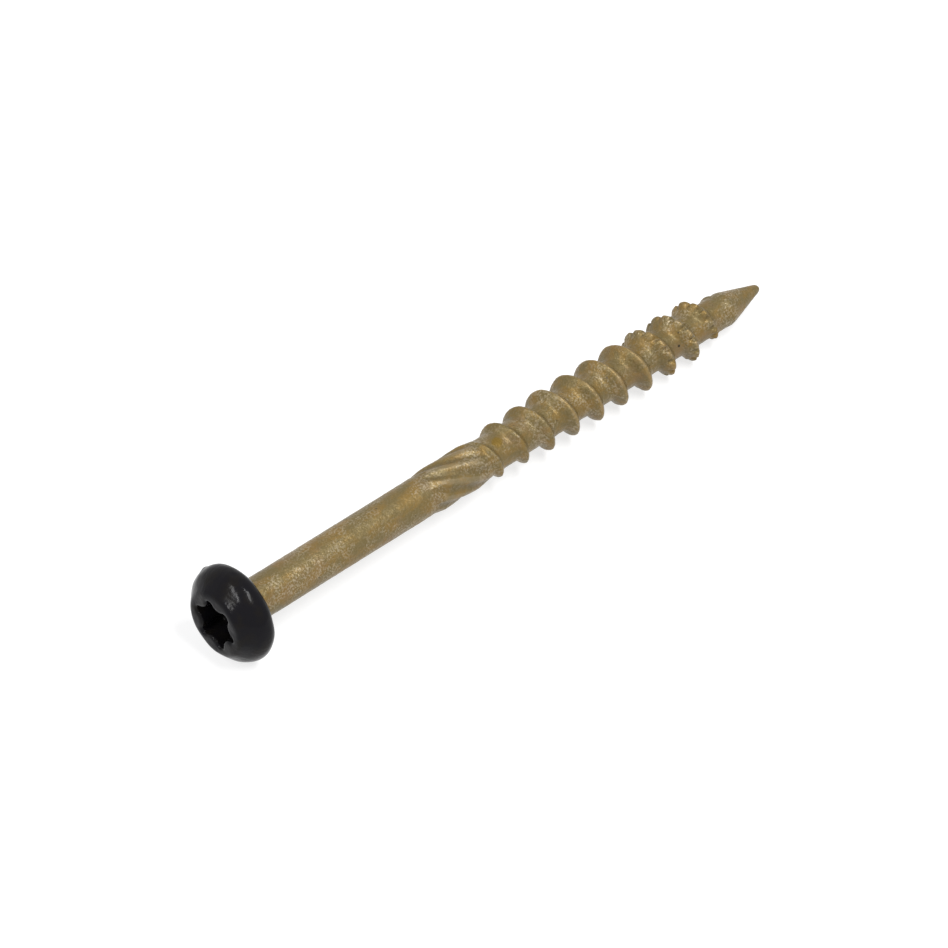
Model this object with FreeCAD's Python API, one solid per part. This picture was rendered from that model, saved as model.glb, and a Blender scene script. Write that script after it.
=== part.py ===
import FreeCAD, Part
import math
import os

os.makedirs("parts", exist_ok=True)

# Facade screw, one formed piece of steel, lengths in mm and angles in degrees.
# It is shaped standing on the Z axis with its bearing face at zero, then laid down.

# overall sizes
screw_length = 60.0
shank_d = 3.66
thread_d = 5.00
core_d_start = 3.40
core_d_end = 3.02
pitch = 2.86

# head, a flat crown, a sloping shoulder and a strongly rounded rim
head_d = 8.84
head_h = 3.32
crown_land = 0.69
under_round = 1.10
under_fillet = 0.30
shoulder_lean = 1.335
shoulder_round = 0.60

# six lobe recess, size 25
recess_across = 4.50
recess_inner = 3.28
lobe_round = 0.38
recess_depth = 2.40
recess_edge = 0.14
recess_turn = 38.6

# plain shank, then the slanting milling ribs that widen the hole
rib_start = 19.7
rib_end = 26.9
rib_count = 8
rib_lead = 29.4
rib_d = 3.96
rib_root_d = 3.54
rib_foot_width = 1.10
rib_top_width = 0.30
rib_run_out = 1.90
rib_turn = 127.5
rib_turn_at = 25.1

# thread section, the crest is blunt under the coating
crest_width = 0.24
head_flank = 0.66
tip_flank = 0.60
crest_round = 0.16
thread_sink = 0.30
thread_turn = 217.5
thread_turn_at = 27.0

# how high the crest stands above the core along the screw
thread_start = 25.55
start_low = 0.46
start_low_at = 1.90
start_rise_at = 4.70
full_at = 9.30
fade_from = 49.6
fade_step = 52.1
fade_step_drop = 0.06
fade_low = 0.40
fade_low_at = 53.1
thread_end = 55.2

# notches across the crest of the last turns
notch_start = 45.12
notch_step = 31.0
notch_depth = 0.42
notch_width = 0.66
notch_foot = 0.20

# point, a plain cone a little thicker at its foot than the core before it
point_length = 4.35
point_foot_d = 3.16
point_foot_rise = 0.80
point_tip_d = 0.80
tip_blunt = 0.26

head_r = head_d / 2
shank_r = shank_d / 2
thread_r = thread_d / 2
core_r_start = core_d_start / 2
core_r_end = core_d_end / 2
rib_r = rib_d / 2
rib_root_r = rib_root_d / 2
point_r = point_foot_d / 2
tip_r = point_tip_d / 2
point_start = screw_length - point_length
origin = FreeCAD.Vector(0, 0, 0)
up = FreeCAD.Vector(0, 0, 1)


def vec(r, z):
    return FreeCAD.Vector(r, 0, z)


def arc(a, b, c):
    return Part.Arc(a, b, c).toShape()


def closed_lines(points):
    edges = []
    for i in range(len(points)):
        edges.append(Part.makeLine(points[i], points[(i + 1) % len(points)]))
    return edges


def revolve(edges):
    face = Part.Face(Part.Wire(edges))
    return face.revolve(origin, up, 360)


# The shoulder leans more than the straight way from the widest point to the crown's corner,
# and the rim round is the arc that meets it smoothly.
corner = vec(recess_across / 2 + crown_land, -head_h)
rise = head_h - under_round
inset = head_r - corner.x
slope = shoulder_lean * math.atan2(inset, rise)
rim_round = (rise * math.sin(slope) - inset * math.cos(slope)) / (1 - math.cos(slope))
rim_centre = vec(head_r - rim_round, -under_round)


def rim_at(share):
    a = slope * share
    return rim_centre + vec(math.cos(a), -math.sin(a)) * rim_round


def under_at(share):
    a = math.pi / 2 * share
    r = head_r - under_round
    return vec(r + under_round * math.cos(a), under_round * (math.sin(a) - 1))


# Two narrow facets break the corner between the shoulder and the flat crown.
rim_end = rim_at(1)
along = vec(-math.sin(slope), -math.cos(slope))
half_turn = (math.pi / 2 - slope) / 2
cut_back = shoulder_round * math.tan(half_turn)
shoulder_end = corner - along * cut_back
crown_edge = corner - vec(cut_back, 0)
round_centre = crown_edge + vec(0, shoulder_round)
shoulder_mid = round_centre + vec(math.sin(half_turn), -math.cos(half_turn)) * shoulder_round

apex = vec(0, -head_h)
core_start = rib_end + 0.3
body_line = [
    vec(head_r - under_round, 0),
    vec(shank_r + under_fillet, 0),
    vec(shank_r, under_fillet),
    vec(shank_r, rib_start),
    vec(rib_root_r, rib_start + 0.9),
    vec(rib_root_r, rib_end - 0.9),
    vec(core_r_start, core_start),
    vec(core_r_end, point_start - point_foot_rise),
    vec(point_r, point_start),
    vec(tip_r, screw_length - tip_blunt),
    vec(tip_r * 0.55, screw_length),
    vec(0, screw_length),
]
body_edges = [
    Part.makeLine(apex, crown_edge),
    Part.makeLine(crown_edge, shoulder_mid),
    Part.makeLine(shoulder_mid, shoulder_end),
    Part.makeLine(shoulder_end, rim_end),
    arc(rim_end, rim_at(0.75), rim_at(0.5)),
    arc(rim_at(0.5), rim_at(0.25), rim_at(0)),
    arc(under_at(0), under_at(0.25), under_at(0.5)),
    arc(under_at(0.5), under_at(0.75), under_at(1)),
]
for i in range(len(body_line) - 1):
    body_edges.append(Part.makeLine(body_line[i], body_line[i + 1]))
body_edges.append(Part.makeLine(body_line[-1], apex))
body = revolve(body_edges)


def core_radius(z):
    share = (z - core_start) / (point_start - core_start)
    return core_r_start + (core_r_end - core_r_start) * share


# heights of the crest above the core, met by smooth steps
full = thread_r - core_r_start
full_from = thread_start + full_at
crest_heights = [
    (thread_start, -0.05),
    (thread_start + start_low_at, start_low),
    (thread_start + start_rise_at, start_low + 0.12),
    (full_from, thread_r - core_radius(full_from)),
    (fade_from, thread_r - core_radius(fade_from)),
    (fade_step, thread_r - core_radius(fade_step) - fade_step_drop),
    (fade_low_at, fade_low),
    (thread_end - 0.5, fade_low - 0.06),
    (thread_end, -0.05),
]


def crest_radius(z):
    z = min(max(z, thread_start), thread_end)
    height = crest_heights[-1][1]
    for (z1, h1), (z2, h2) in zip(crest_heights, crest_heights[1:]):
        if z1 <= z < z2:
            t = (z - z1) / (z2 - z1)
            height = h1 + (h2 - h1) * t * t * (3 - 2 * t)
    return core_radius(z) + height


def rib_radius(z):
    return rib_r


def turned(r, z, angle):
    a = math.radians(angle)
    return FreeCAD.Vector(r * math.cos(a), r * math.sin(a), z)


def helix_edge(point, z_from, z_to, places, lead, angle_at, z_at, crest):
    # one stretch of a right handed helix through a point of the section
    step = (z_to - z_from) / places
    points = []
    for i in range(-1, places + 2):
        z = z_from + i * step
        angle = angle_at + 360 * (z - z_at) / lead
        points.append(turned(point.x + crest(z), z + point.z, angle))
    first = (points[2] - points[0]) * (places / 2)
    last = (points[-1] - points[-3]) * (places / 2)
    knots = [i / places for i in range(places + 1)]
    curve = Part.BSplineCurve()
    curve.interpolate(
        Points=points[1:-1], Parameters=knots, InitialTangent=first, FinalTangent=last
    )
    return curve.toShape()


def helix_solid(section, z_from, z_to, stretches, lead, angle_at, z_at, crest):
    # ruled strips between neighbouring helices, closed by two flat ends
    faces = []
    starts = []
    ends = []
    step = (z_to - z_from) / stretches
    for k in range(stretches):
        low = z_from + k * step
        edges = []
        for point in section:
            edges.append(helix_edge(point, low, low + step, 2, lead, angle_at, z_at, crest))
        for i in range(len(edges)):
            faces.append(Part.makeRuledSurface(edges[i], edges[(i + 1) % len(edges)]))
        if k == 0:
            starts = [e.Vertexes[0].Point for e in edges]
        ends = [e.Vertexes[-1].Point for e in edges]
    faces.append(Part.Face(Part.makePolygon(starts + starts[:1])))
    faces.append(Part.Face(Part.makePolygon(ends + ends[:1])))
    shell = Part.makeShell(faces)
    shell.sewShape()
    solid = Part.makeSolid(Part.Shell(shell.Faces))
    if solid.Volume < 0:
        solid.reverse()
    return solid


# thread section, measured from the crest, wider towards the head
half = crest_width / 2
foot = full + thread_sink
head_foot = half + head_flank * foot / full
tip_foot = half + tip_flank * foot / full
head_side_drop = half + head_flank * crest_round / full
tip_side_drop = half + tip_flank * crest_round / full
thread_section = [
    vec(-foot, -head_foot),
    vec(-crest_round, -head_side_drop),
    vec(0, 0),
    vec(-crest_round, tip_side_drop),
    vec(-foot, tip_foot),
]
quarter_turns = math.ceil((thread_end - thread_start) / pitch * 4)
thread = helix_solid(
    thread_section, thread_start, thread_end, quarter_turns,
    pitch, thread_turn, thread_turn_at, crest_radius
)

# Each notch is a wedge across the crest, one after another along the helix.
cutters = []
z = notch_start
while z < thread_end - 0.9:
    high = crest_radius(z) + 0.3
    low = crest_radius(z) - notch_depth
    spread = notch_foot + (notch_width - notch_foot) * (high - low) / notch_depth
    wedge = Part.Face(Part.Wire(closed_lines([
        FreeCAD.Vector(low, -notch_foot / 2, z - 0.9),
        FreeCAD.Vector(high, -spread / 2, z - 0.9),
        FreeCAD.Vector(high, spread / 2, z - 0.9),
        FreeCAD.Vector(low, notch_foot / 2, z - 0.9),
    ])))
    wedge = wedge.extrude(FreeCAD.Vector(0, 0, 1.8))
    wedge.rotate(origin, up, thread_turn + 360 * (z - thread_turn_at) / pitch)
    cutters.append(wedge)
    z += notch_step / 360 * pitch
thread = thread.cut(Part.makeCompound(cutters))

# The ribs lie across the shank like a steep coarse thread and run out at both ends.
rib_tall = rib_r - rib_root_r
rib_sink = 0.06
rib_lean = (rib_foot_width - rib_top_width) / 2 / rib_tall
rib_angle = math.atan2(2 * math.pi * shank_r, rib_lead)
rib_top = rib_top_width / 2 / math.sin(rib_angle)
rib_low = rib_top + rib_lean * (rib_tall + rib_sink) / math.sin(rib_angle)
rib_section = [
    vec(-rib_tall - rib_sink, -rib_low),
    vec(0, -rib_top),
    vec(0, rib_top),
    vec(-rib_tall - rib_sink, rib_low),
]
rib_hull = revolve(closed_lines([
    vec(0, rib_start),
    vec(rib_root_r - 0.02, rib_start),
    vec(rib_r + 0.05, rib_start + rib_run_out),
    vec(rib_r + 0.05, rib_end - rib_run_out),
    vec(rib_root_r - 0.02, rib_end),
    vec(0, rib_end),
]))
ribs = []
for i in range(rib_count):
    rib = helix_solid(
        rib_section, rib_start - 3, rib_end + 3, 3,
        rib_lead, rib_turn + 360 * i / rib_count, rib_turn_at, rib_radius
    )
    ribs.append(rib.common(rib_hull))

# six lobe recess, round lobes joined by tangent hollows
lobe_centre = recess_across / 2 - lobe_round
waist = recess_inner / 2
tilt = math.cos(math.pi / 6)
hollow = lobe_round ** 2 - lobe_centre ** 2 - waist ** 2 + 2 * lobe_centre * waist * tilt
hollow = hollow / (2 * (waist - lobe_centre * tilt - lobe_round))


def flat_polar(r, degrees):
    a = math.radians(degrees)
    return FreeCAD.Vector(r * math.cos(a), r * math.sin(a), 0)


recess_edges = []
for i in range(6):
    turn = recess_turn + 60 * i
    lobe = flat_polar(lobe_centre, turn)
    before = flat_polar(waist + hollow, turn - 30)
    after = flat_polar(waist + hollow, turn + 30)
    touch_in = lobe + (before - lobe).normalize() * lobe_round
    touch_out = lobe + (after - lobe).normalize() * lobe_round
    recess_edges.append(arc(touch_in, flat_polar(recess_across / 2, turn), touch_out))
    next_lobe = flat_polar(lobe_centre, turn + 60)
    next_touch = next_lobe + (after - next_lobe).normalize() * lobe_round
    recess_edges.append(arc(touch_out, flat_polar(waist, turn + 30), next_touch))
recess = Part.Face(Part.Wire(recess_edges)).extrude(FreeCAD.Vector(0, 0, recess_depth))
recess.translate(FreeCAD.Vector(0, 0, -head_h))

shape = body.cut(recess)
mouth = []
for edge in shape.Edges:
    middle = edge.CenterOfMass
    on_crown = edge.BoundBox.ZMax < -head_h + 0.01
    if on_crown and math.hypot(middle.x, middle.y) < recess_across / 2 and edge.Length < recess_across:
        mouth.append(edge)
shape = shape.makeChamfer(recess_edge, mouth)
shape = shape.fuse([thread] + ribs)

# Laid down, the rim of the head and the last full crest meet the floor.
shape.rotate(origin, FreeCAD.Vector(0, 1, 0), 90)
rest_tilt = math.degrees(math.atan2(head_r - thread_r, fade_from + under_round))
shape.rotate(origin, FreeCAD.Vector(0, 1, 0), rest_tilt)
shape.exportStep("parts/screw.step")
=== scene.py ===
import bpy
import math
from mathutils import Matrix, Vector, noise


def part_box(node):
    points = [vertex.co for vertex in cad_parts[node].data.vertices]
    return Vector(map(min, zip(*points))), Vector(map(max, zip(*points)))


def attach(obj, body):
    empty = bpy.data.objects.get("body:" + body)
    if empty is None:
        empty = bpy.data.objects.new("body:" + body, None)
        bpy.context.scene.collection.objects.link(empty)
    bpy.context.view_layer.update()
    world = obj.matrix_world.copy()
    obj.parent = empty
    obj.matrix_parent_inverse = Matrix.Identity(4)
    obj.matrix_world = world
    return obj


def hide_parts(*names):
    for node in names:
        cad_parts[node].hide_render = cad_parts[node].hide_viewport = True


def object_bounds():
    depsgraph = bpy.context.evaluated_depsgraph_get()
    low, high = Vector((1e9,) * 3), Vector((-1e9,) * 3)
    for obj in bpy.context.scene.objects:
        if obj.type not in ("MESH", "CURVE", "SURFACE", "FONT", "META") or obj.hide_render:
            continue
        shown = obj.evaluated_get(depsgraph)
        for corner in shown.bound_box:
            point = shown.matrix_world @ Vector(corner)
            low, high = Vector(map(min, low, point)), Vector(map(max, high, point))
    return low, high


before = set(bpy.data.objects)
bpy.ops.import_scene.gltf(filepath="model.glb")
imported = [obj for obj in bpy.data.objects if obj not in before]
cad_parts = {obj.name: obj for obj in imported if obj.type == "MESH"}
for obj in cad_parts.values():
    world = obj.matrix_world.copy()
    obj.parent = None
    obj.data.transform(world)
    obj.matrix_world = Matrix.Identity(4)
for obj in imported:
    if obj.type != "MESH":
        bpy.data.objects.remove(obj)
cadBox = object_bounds()
print("frame loaded", sorted(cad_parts))

bpy.ops.object.select_all(action="DESELECT")
bpy.context.scene.view_settings.view_transform = "Standard"

# the photograph's view, with the frame's origin at a pixel counted from its top left corner
cameraView = {
    "azimuth": 43.41,
    "elevation": 44.19,
    "distance": 0.5914,
    "nearest": 0.01,
    "lens": 272.8,
    "sensor": 36.0,
    "imageSize": 948,
    "originAt": (244.0, 606.6),
}


def viewAxes():
    turn = math.radians(cameraView["azimuth"])
    dip = math.radians(cameraView["elevation"])
    right = Vector((math.cos(turn), -math.sin(turn), 0))
    ahead = Vector((math.cos(dip) * math.sin(turn), math.cos(dip) * math.cos(turn), -math.sin(dip)))
    return right, right.cross(ahead), ahead


def setCamera():
    right, up, ahead = viewAxes()
    focal = cameraView["lens"] / cameraView["sensor"] * cameraView["imageSize"]
    middle = cameraView["imageSize"] / 2
    perPixel = cameraView["distance"] / focal
    sideways = (cameraView["originAt"][0] - middle) * perPixel
    downwards = (cameraView["originAt"][1] - middle) * perPixel
    place = -ahead * cameraView["distance"] - right * sideways + up * downwards
    bpy.ops.object.camera_add(location=place)
    camera = bpy.context.object
    camera.name = "camera"
    dip = math.radians(90 - cameraView["elevation"])
    camera.rotation_euler = (dip, 0, -math.radians(cameraView["azimuth"]))
    camera.data.lens = cameraView["lens"]
    camera.data.sensor_width = cameraView["sensor"]
    camera.data.clip_start = cameraView["nearest"]
    bpy.context.scene.camera = camera


setCamera()
print("camera set")

# softboxes, each placed by where it stands seen from the camera: right, up and towards it
lampLook = {
    "keyBox": {"towards": (0.34, 0.46, 0.82), "reach": 0.5, "size": (0.12, 0.30), "watts": 2.35},
    "sideStrip": {"towards": (-0.58, 0.20, 0.79), "reach": 0.5, "size": (0.045, 0.32), "watts": 1.1},
}
worldLook = {"fill": (0.30, 0.30, 0.31), "backdrop": (1.0, 1.0, 1.0)}


def addNode(tree, kind, **values):
    node = tree.nodes.new(kind)
    for name, value in values.items():
        setattr(node, name, value)
    return node


def addLamps():
    low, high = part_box("screw")
    middle = (low + high) / 2
    right, up, ahead = viewAxes()
    for name, look in lampLook.items():
        sideways, upwards, nearer = look["towards"]
        way = (right * sideways + up * upwards - ahead * nearer).normalized()
        bpy.ops.object.light_add(type="AREA", location=middle + way * look["reach"])
        lamp = bpy.context.object
        lamp.name = name
        lamp.data.shape = "RECTANGLE"
        lamp.data.size, lamp.data.size_y = look["size"]
        lamp.data.energy = look["watts"]
        tall = (up - way * up.dot(way)).normalized()
        lamp.rotation_euler = Matrix((tall.cross(way), tall, way)).transposed().to_euler()


def seenDirectly(tree):
    # one where the eye, a glossy or a clear surface looks straight at this
    path = addNode(tree, "ShaderNodeLightPath")
    first = addNode(tree, "ShaderNodeMath", operation="MAXIMUM")
    second = addNode(tree, "ShaderNodeMath", operation="MAXIMUM")
    tree.links.new(path.outputs["Is Camera Ray"], first.inputs[0])
    tree.links.new(path.outputs["Is Glossy Ray"], first.inputs[1])
    tree.links.new(first.outputs[0], second.inputs[0])
    tree.links.new(path.outputs["Is Transmission Ray"], second.inputs[1])
    return second.outputs[0]


def lightWorld():
    world = bpy.data.worlds.new("studio")
    bpy.context.scene.world = world
    world.use_nodes = True
    tree = world.node_tree
    tree.nodes.clear()
    fill = addNode(tree, "ShaderNodeBackground")
    fill.inputs["Color"].default_value = (*worldLook["fill"], 1)
    backdrop = addNode(tree, "ShaderNodeBackground")
    backdrop.inputs["Color"].default_value = (*worldLook["backdrop"], 1)
    mix = addNode(tree, "ShaderNodeMixShader")
    out = addNode(tree, "ShaderNodeOutputWorld")
    tree.links.new(seenDirectly(tree), mix.inputs["Fac"])
    tree.links.new(fill.outputs[0], mix.inputs[1])
    tree.links.new(backdrop.outputs[0], mix.inputs[2])
    tree.links.new(mix.outputs[0], out.inputs["Surface"])


addLamps()
lightWorld()
print("lamps and world set")

# white paper: color is what lights the screw, and the camera sees a glow plus a color that takes the shadow
floorLook = {"size": 3.0, "color": (0.80, 0.80, 0.80), "seenColor": (0.36, 0.36, 0.36), "glow": 0.74}


def addFloor():
    low, high = cadBox
    bpy.ops.mesh.primitive_plane_add(size=floorLook["size"], location=(0, 0, low.z))
    floor = bpy.context.object
    floor.name = "floor"
    material = bpy.data.materials.new("floorPaper")
    material.use_nodes = True
    tree = material.node_tree
    tree.nodes.clear()
    paper = addNode(tree, "ShaderNodeBsdfDiffuse")
    paper.inputs["Color"].default_value = (*floorLook["color"], 1)
    shade = addNode(tree, "ShaderNodeBsdfDiffuse")
    shade.inputs["Color"].default_value = (*floorLook["seenColor"], 1)
    glow = addNode(tree, "ShaderNodeEmission")
    glow.inputs["Strength"].default_value = floorLook["glow"]
    seen = addNode(tree, "ShaderNodeAddShader")
    mix = addNode(tree, "ShaderNodeMixShader")
    out = addNode(tree, "ShaderNodeOutputMaterial")
    tree.links.new(shade.outputs[0], seen.inputs[0])
    tree.links.new(glow.outputs[0], seen.inputs[1])
    tree.links.new(seenDirectly(tree), mix.inputs["Fac"])
    tree.links.new(paper.outputs[0], mix.inputs[1])
    tree.links.new(seen.outputs[0], mix.inputs[2])
    tree.links.new(mix.outputs[0], out.inputs["Surface"])
    floor.data.materials.append(material)


addFloor()
print("floor laid")

perMetre = 1000  # millimetres

# the screw, in millimetres and degrees: places are along it from the bearing face, or out from its axis
screwLook = {
    "lean": 2.169,
    "paintEnd": 0.35,
    # the coating rounds the corners of a copy of the solid, then lumps, waves and the chip are raised on it
    "form": {
        "merge": 0.001,
        "voxel": 0.1,
        "rounding": 0.5,
        "roundings": 7,
        "ribs": (19.0, 27.2),
        "ribRounding": 0.03,
        "fillings": 9,
        "rootOut": (1.80, 2.15),
        "threadFrom": (26.0, 28.0),
        "threadOut": (1.90, 2.45),
        "regain": 0.055,
        "lumpSize": 1.25,
        "lumpHeight": 0.045,
        "coreLumps": 0.35,
        "grainSize": 0.35,
        "grainHeight": 0.016,
        "waveSize": 1.7,
        "waveHeight": 0.06,
        "chipAt": (-1.05, 3.62, 2.58),  # in the frame, as the screw lies
        "chipReach": (0.02, 0.55),
        "chipHeight": 0.1,
        "triangles": 190000,
    },
    "bump": {"strength": 0.7, "distance": 0.06},
    # a noise is its scale per millimetre, detail, roughness and distortion, and an edge is where its mask
    # starts and ends
    "khaki": {
        "metallic": 0.32,
        "specular": 0.2,
        "roughness": (0.32, 0.45),
        "olive": (0.148, 0.110, 0.042),
        "ochre": (0.192, 0.122, 0.033),
        "rust": (0.205, 0.128, 0.062),
        # silver is the flecks' own colour and also the painted highlight on the rib tops
        "silver": (0.362, 0.302, 0.206),
        # dark is the specks' own colour and also the painted shade in the rib hollows
        "dark": (0.060, 0.048, 0.028),
        # crest is the thread crests' paler colour: partly rubbed coating, partly a painted highlight
        "crest": (0.300, 0.205, 0.090),
        "drawnOut": (0.6, 1, 1),
        "stains": (0.75, 4.0, 0.65, 0.3),
        "stainEdge": (0.42, 0.64),
        "warmth": (0.42, 3.0, 0.6),
        "warmthEdge": (0.52, 0.70),
        "warmthShare": 0.4,
        "pale": (0.55, 3.0, 0.6, 0.2),
        "paleEdge": (0.40, 0.66),
        "paleShares": (0.12, 0.75),
        "flecks": (5.5, 2.0, 0.7),
        "fleckEdge": (0.42, 0.68),
        "specks": (2.6, 1.0, 0.5),
        "speckEdge": (0.745, 0.79),
        "speckShare": 0.8,
        "grain": (5.0, 2.0, 0.7),
        "grainEdge": (0.3, 0.7),
        "grainHeight": 1.1,
        "lumps": (1.3, 2.0, 0.5),
        "ribsStart": (19.6, 20.8),
        "ribsEnd": (26.6, 25.8),
        # the rib hollows get painted shade in the dark tone, the rib tops a painted highlight in the silver
        # tone
        "ribPaintedShade": (1.90, 1.79),
        "ribPaintedShadeShare": 0.22,
        "ribPaintedHighlight": (1.90, 1.97),
        "ribPaintedHighlightShare": 0.2,
        "crestOut": (2.40, 2.52),
        "crestGrain": (0.35, 0.6),
        "crestShares": (0.15, 0.6),
        "spots": (
            {"place": (48.94, -1.40, 0.67), "size": 0.13, "color": (0.020, 0.016, 0.010)},
            {"place": (28.17, -0.55, 1.59), "size": 0.55, "color": (0.166, 0.104, 0.018)},
        ),
        "spotNoise": (3.0, 2.0, 0.5),
        "spotWobble": 0.8,
        "spotFade": 1.6,
    },
    "paint": {
        "metallic": 0.0,
        "specular": 0.09,
        "roughness": (0.13, 0.22),
        "black": (0.0056, 0.0052, 0.0068),
        "warmBlack": (0.0078, 0.0066, 0.0058),
        "clouds": (0.8, 3.0, 0.6),
        "cloudEdge": (0.4, 0.7),
        "roughEdge": (0.3, 0.7),
        "waves": (0.9, 2.0, 0.5),
        "waveHeight": 1.5,
        "ripples": (5.0, 2.0, 0.5),
        "rippleHeight": 0.12,
    },
}


def screwAxis():
    lean = math.radians(screwLook["lean"])
    return Vector((math.cos(lean), 0, -math.sin(lean)))


def outFromAxis(point):
    # how far along the screw, and the way out from its axis
    along = point.dot(screwAxis()) * perMetre
    return along, point * perMetre - screwAxis() * along


def smoothStep(value, low, high):
    share = min(max((value - low) / (high - low), 0), 1)
    return share * share * (3 - 2 * share)


def addModifier(piece, kind, **values):
    modifier = piece.modifiers.new(kind.lower(), kind)
    for name, value in values.items():
        setattr(modifier, name, value)
    bpy.ops.object.modifier_apply(modifier=modifier.name)


def addWeights(piece, name, weightAt):
    group = piece.vertex_groups.new(name=name)
    for vertex in piece.data.vertices:
        along, out = outFromAxis(vertex.co)
        group.add([vertex.index], weightAt(along, out.length), "REPLACE")
    return group.name


def mergedCopy(node, name):
    piece = bpy.data.objects.new(name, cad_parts[node].data.copy())
    bpy.context.collection.objects.link(piece)
    bpy.ops.object.select_all(action="DESELECT")
    piece.select_set(True)
    bpy.context.view_layer.objects.active = piece
    bpy.ops.object.mode_set(mode="EDIT")
    bpy.ops.mesh.select_all(action="SELECT")
    bpy.ops.mesh.remove_doubles(threshold=screwLook["form"]["merge"] / perMetre)
    bpy.ops.object.mode_set(mode="OBJECT")
    return piece


def edgeSoftness(along, out):
    # the milling ribs keep most of their edges
    start, end = screwLook["form"]["ribs"]
    return screwLook["form"]["ribRounding"] if start < along < end else 1


def rootFilling(along, out):
    # the coating lies thicker in the hollow between the thread's turns
    form = screwLook["form"]
    return smoothStep(along, *form["threadFrom"]) * (1 - smoothStep(out, *form["rootOut"]))


def coverWithCoating(piece):
    # crests regain what the rounding took off
    # then lumps and grain stand on the coating, broad waves and the chip on the paint
    form = screwLook["form"]
    normals = [vertex.normal.copy() for vertex in piece.data.vertices]
    for vertex, normal in zip(piece.data.vertices, normals):
        place = vertex.co * perMetre
        along, out = outFromAxis(vertex.co)
        crest = smoothStep(along, *form["threadFrom"]) * smoothStep(out.length, *form["threadOut"])
        if along > screwLook["paintEnd"]:
            share = form["coreLumps"] + (1 - form["coreLumps"]) * crest
            rise = noise.noise(place / form["lumpSize"]) * form["lumpHeight"] * share
            rise += noise.noise(place / form["grainSize"]) * form["grainHeight"]
        else:
            away = (place - Vector(form["chipAt"])).length
            rise = noise.noise(place / form["waveSize"]) * form["waveHeight"]
            rise += (1 - smoothStep(away, *form["chipReach"])) * form["chipHeight"]
        vertex.co += (out.normalized() * crest * form["regain"] + normal * rise) / perMetre


def keepInside(piece):
    # nothing stands proud of the node's own box
    low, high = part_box("screw")
    for vertex in piece.data.vertices:
        for side in range(3):
            vertex.co[side] = min(max(vertex.co[side], low[side]), high[side])


def roundedScrew():
    form = screwLook["form"]
    piece = mergedCopy("screw", "coatedScrew")
    addModifier(piece, "REMESH", mode="VOXEL", voxel_size=form["voxel"] / perMetre, use_smooth_shade=True)
    for name, weightAt, times in (
        ("rounded", edgeSoftness, form["roundings"]),
        ("filled", rootFilling, form["fillings"]),
    ):
        group = addWeights(piece, name, weightAt)
        addModifier(piece, "SMOOTH", factor=form["rounding"], iterations=times, vertex_group=group)
    coverWithCoating(piece)
    piece.data.calc_loop_triangles()
    share = form["triangles"] / len(piece.data.loop_triangles)
    if share < 1:
        addModifier(piece, "DECIMATE", ratio=share)
    keepInside(piece)
    bpy.ops.object.shade_smooth()
    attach(piece, "root")
    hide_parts("screw")
    return piece


def newGroup(name, inputs, outputs):
    group = bpy.data.node_groups.new(name, "ShaderNodeTree")
    for label, kind in inputs:
        group.interface.new_socket(name=label, in_out="INPUT", socket_type=kind)
    for label, kind in outputs:
        group.interface.new_socket(name=label, in_out="OUTPUT", socket_type=kind)
    start = addNode(group, "NodeGroupInput")
    end = addNode(group, "NodeGroupOutput")
    return group, start, end


def finishGroup(name):
    # every finish reads the place on the screw and puts out the same three values
    return newGroup(
        name,
        [("Straight", "NodeSocketVector"), ("Out", "NodeSocketFloat")],
        [("Color", "NodeSocketColor"), ("Roughness", "NodeSocketFloat"), ("Height", "NodeSocketFloat")],
    )


def useGroup(tree, group):
    node = addNode(tree, "ShaderNodeGroup")
    node.node_tree = group
    return node


def noiseNode(tree, where, scale, detail, rough, distortion=0.0):
    node = addNode(tree, "ShaderNodeTexNoise")
    node.inputs["Scale"].default_value = scale
    node.inputs["Detail"].default_value = detail
    node.inputs["Roughness"].default_value = rough
    node.inputs["Distortion"].default_value = distortion
    tree.links.new(where, node.inputs["Vector"])
    return node.outputs["Fac"]


def mapNode(tree, where, **values):
    node = addNode(tree, "ShaderNodeMapping")
    for name, value in values.items():
        node.inputs[name].default_value = value
    tree.links.new(where, node.inputs["Vector"])
    return node.outputs[0]


def splitNode(tree, where):
    node = addNode(tree, "ShaderNodeSeparateXYZ")
    tree.links.new(where, node.inputs[0])
    return node.outputs


def ramp(tree, value, span, shares=(0.0, 1.0)):
    # a soft step over the span, from the first share to the second
    node = addNode(tree, "ShaderNodeMapRange", interpolation_type="SMOOTHSTEP")
    for label, number in zip(("From Min", "From Max", "To Min", "To Max"), (*span, *shares)):
        node.inputs[label].default_value = number
    tree.links.new(value, node.inputs["Value"])
    return node.outputs["Result"]


def mathNode(tree, kind, first, second=0.0):
    node = addNode(tree, "ShaderNodeMath", operation=kind)
    for socket, value in zip(node.inputs, (first, second)):
        if isinstance(value, (int, float)):
            socket.default_value = value
        else:
            tree.links.new(value, socket)
    return node.outputs[0]


def blendColor(tree, mask, first, second):
    node = addNode(tree, "ShaderNodeMix", data_type="RGBA")
    tree.links.new(mask, node.inputs["Factor"])
    # inputs 6 and 7 are the mix node's two colors, output 2 is the mixed one
    for socket, color in ((node.inputs[6], first), (node.inputs[7], second)):
        if isinstance(color, tuple):
            socket.default_value = (*color, 1)
        else:
            tree.links.new(color, socket)
    return node.outputs[2]


def screwCoordinates():
    # places in millimetres, X along the screw
    group, start, end = newGroup(
        "screwCoordinates",
        [("Object", "NodeSocketVector")],
        [("Straight", "NodeSocketVector"), ("Out", "NodeSocketFloat")],
    )
    lean = math.radians(screwLook["lean"])
    straight = mapNode(group, start.outputs["Object"], Rotation=(0, -lean, 0), Scale=(perMetre,) * 3)
    parts = splitNode(group, straight)
    across = mathNode(group, "MULTIPLY", parts["Y"], parts["Y"])
    upwards = mathNode(group, "MULTIPLY", parts["Z"], parts["Z"])
    out = mathNode(group, "SQRT", mathNode(group, "ADD", across, upwards))
    group.links.new(straight, end.inputs["Straight"])
    group.links.new(out, end.inputs["Out"])
    return group


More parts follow.
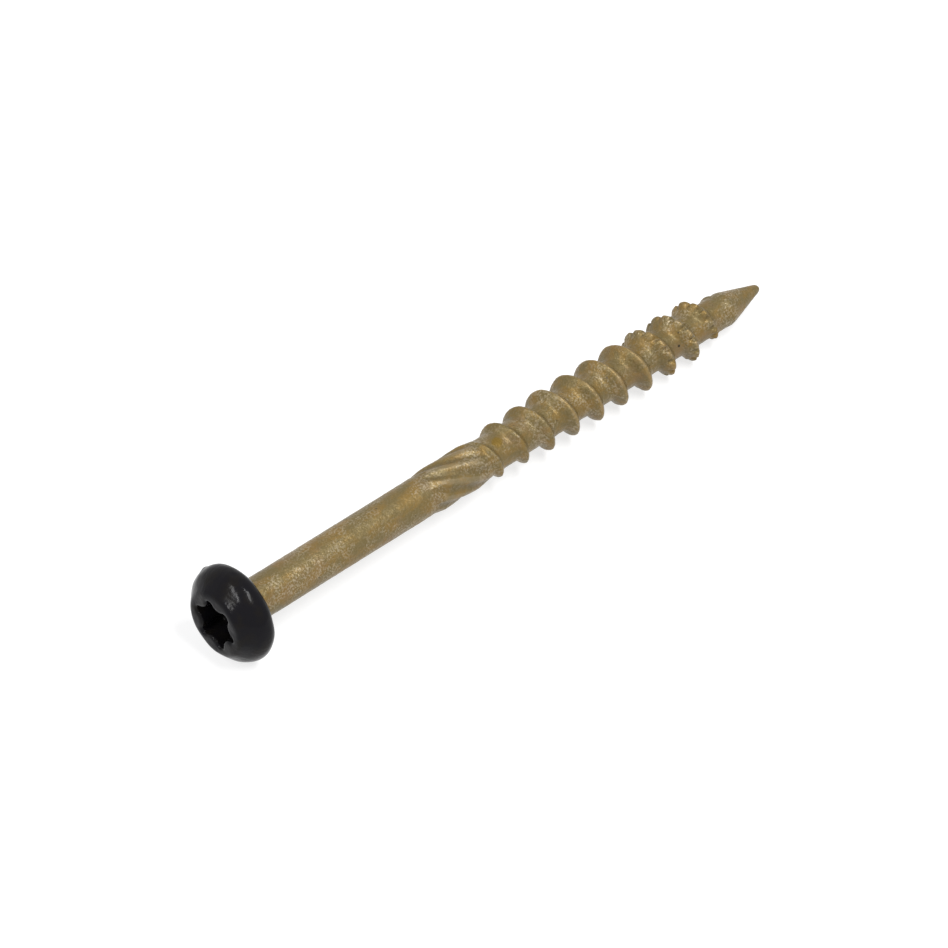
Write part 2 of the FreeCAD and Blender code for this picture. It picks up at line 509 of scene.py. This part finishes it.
def spotMask(tree, where, spot):
    # one inside the spot, its edge broken by noise
    look = screwLook["khaki"]
    nearness = addNode(tree, "ShaderNodeVectorMath", operation="DISTANCE")
    nearness.inputs[1].default_value = spot["place"]
    tree.links.new(where, nearness.inputs[0])
    broken = noiseNode(tree, where, *look["spotNoise"])
    wobble = mathNode(tree, "MULTIPLY", broken, spot["size"] * look["spotWobble"])
    reach = mathNode(tree, "ADD", nearness.outputs["Value"], wobble)
    return ramp(tree, reach, (spot["size"] * look["spotFade"], spot["size"]))


def stainedColor(group, where, look):
    # olive with ochre stains and rust, then silver flecks in pale patches and dark specks
    longer = mapNode(group, where, Scale=look["drawnOut"])
    stains = ramp(group, noiseNode(group, longer, *look["stains"]), look["stainEdge"])
    pale = ramp(group, noiseNode(group, longer, *look["pale"]), look["paleEdge"])
    warmth = ramp(group, noiseNode(group, where, *look["warmth"]), look["warmthEdge"])
    flecks = ramp(group, noiseNode(group, where, *look["flecks"]), look["fleckEdge"])
    specks = ramp(group, noiseNode(group, where, *look["specks"]), look["speckEdge"])
    color = blendColor(group, stains, look["olive"], look["ochre"])
    color = blendColor(group, mathNode(group, "MULTIPLY", warmth, look["warmthShare"]), color, look["rust"])
    silver = mathNode(group, "MULTIPLY", ramp(group, pale, (0.0, 1.0), look["paleShares"]), flecks)
    color = blendColor(group, silver, color, look["silver"])
    return blendColor(group, mathNode(group, "MULTIPLY", specks, look["speckShare"]), color, look["dark"])


def paintedLightAndCrestWear(group, color, where, out, grain, look):
    # painted shade in rib hollows, painted highlight on rib tops, and rubbed crests with a painted
    # highlight
    along = splitNode(group, where)["X"]
    start = ramp(group, along, look["ribsStart"])
    ribbed = mathNode(group, "MULTIPLY", start, ramp(group, along, look["ribsEnd"]))
    # painted shade in the rib hollows, painted highlight on the rib tops
    for part, tone in (("ribPaintedShade", "dark"), ("ribPaintedHighlight", "silver")):
        level = ramp(group, out, look[part], (0.0, look[part + "Share"]))
        color = blendColor(group, mathNode(group, "MULTIPLY", ribbed, level), color, look[tone])
    # the crests are paler, partly rubbed coating and partly a painted highlight
    patches = ramp(group, grain, look["crestGrain"], look["crestShares"])
    crestWearAndHighlight = mathNode(group, "MULTIPLY", ramp(group, out, look["crestOut"]), patches)
    return blendColor(group, crestWearAndHighlight, color, look["crest"])


def khakiCoating():
    look = screwLook["khaki"]
    group, start, end = finishGroup("khakiCoating")
    where, out = start.outputs["Straight"], start.outputs["Out"]
    grain = noiseNode(group, where, *look["grain"])
    color = paintedLightAndCrestWear(group, stainedColor(group, where, look), where, out, grain, look)
    for spot in look["spots"]:
        color = blendColor(group, spotMask(group, where, spot), color, spot["color"])
    grainHeight = mathNode(group, "MULTIPLY", grain, look["grainHeight"])
    height = mathNode(group, "ADD", noiseNode(group, where, *look["lumps"]), grainHeight)
    group.links.new(color, end.inputs["Color"])
    group.links.new(ramp(group, grain, look["grainEdge"], look["roughness"]), end.inputs["Roughness"])
    group.links.new(height, end.inputs["Height"])
    return group


def blackPaint():
    look = screwLook["paint"]
    group, start, end = finishGroup("blackPaint")
    where = start.outputs["Straight"]
    clouds = noiseNode(group, where, *look["clouds"])
    color = blendColor(group, ramp(group, clouds, look["cloudEdge"]), look["black"], look["warmBlack"])
    waves = mathNode(group, "MULTIPLY", noiseNode(group, where, *look["waves"]), look["waveHeight"])
    ripples = mathNode(group, "MULTIPLY", noiseNode(group, where, *look["ripples"]), look["rippleHeight"])
    group.links.new(color, end.inputs["Color"])
    group.links.new(ramp(group, clouds, look["roughEdge"], look["roughness"]), end.inputs["Roughness"])
    group.links.new(mathNode(group, "ADD", waves, ripples), end.inputs["Height"])
    return group


def finishMaterial(name, coordinates, group, look):
    material = bpy.data.materials.new(name)
    material.use_nodes = True
    tree = material.node_tree
    tree.nodes.clear()
    shader = addNode(tree, "ShaderNodeBsdfPrincipled")
    shader.inputs["Metallic"].default_value = look["metallic"]
    shader.inputs["Specular IOR Level"].default_value = look["specular"]
    out = addNode(tree, "ShaderNodeOutputMaterial")
    tree.links.new(shader.outputs[0], out.inputs["Surface"])
    source = addNode(tree, "ShaderNodeTexCoord")
    place = useGroup(tree, coordinates)
    tree.links.new(source.outputs["Object"], place.inputs["Object"])
    finish = useGroup(tree, group)
    for label in ("Straight", "Out"):
        tree.links.new(place.outputs[label], finish.inputs[label])
    bump = addNode(tree, "ShaderNodeBump")
    bump.inputs["Strength"].default_value = screwLook["bump"]["strength"]
    bump.inputs["Distance"].default_value = screwLook["bump"]["distance"] / perMetre
    tree.links.new(finish.outputs["Height"], bump.inputs["Height"])
    tree.links.new(finish.outputs["Color"], shader.inputs["Base Color"])
    tree.links.new(finish.outputs["Roughness"], shader.inputs["Roughness"])
    tree.links.new(bump.outputs["Normal"], shader.inputs["Normal"])
    return material


def finishScrew(screw):
    # the paint ends just behind the head
    coordinates = screwCoordinates()
    coat = finishMaterial("khakiCoat", coordinates, khakiCoating(), screwLook["khaki"])
    paint = finishMaterial("headPaint", coordinates, blackPaint(), screwLook["paint"])
    screw.data.materials.clear()
    screw.data.materials.append(coat)
    screw.data.materials.append(paint)
    for face in screw.data.polygons:
        along, out = outFromAxis(face.center)
        face.material_index = 1 if along < screwLook["paintEnd"] else 0


screw = roundedScrew()
print("screw rounded", len(screw.data.polygons))

finishScrew(screw)
print("screw finished")
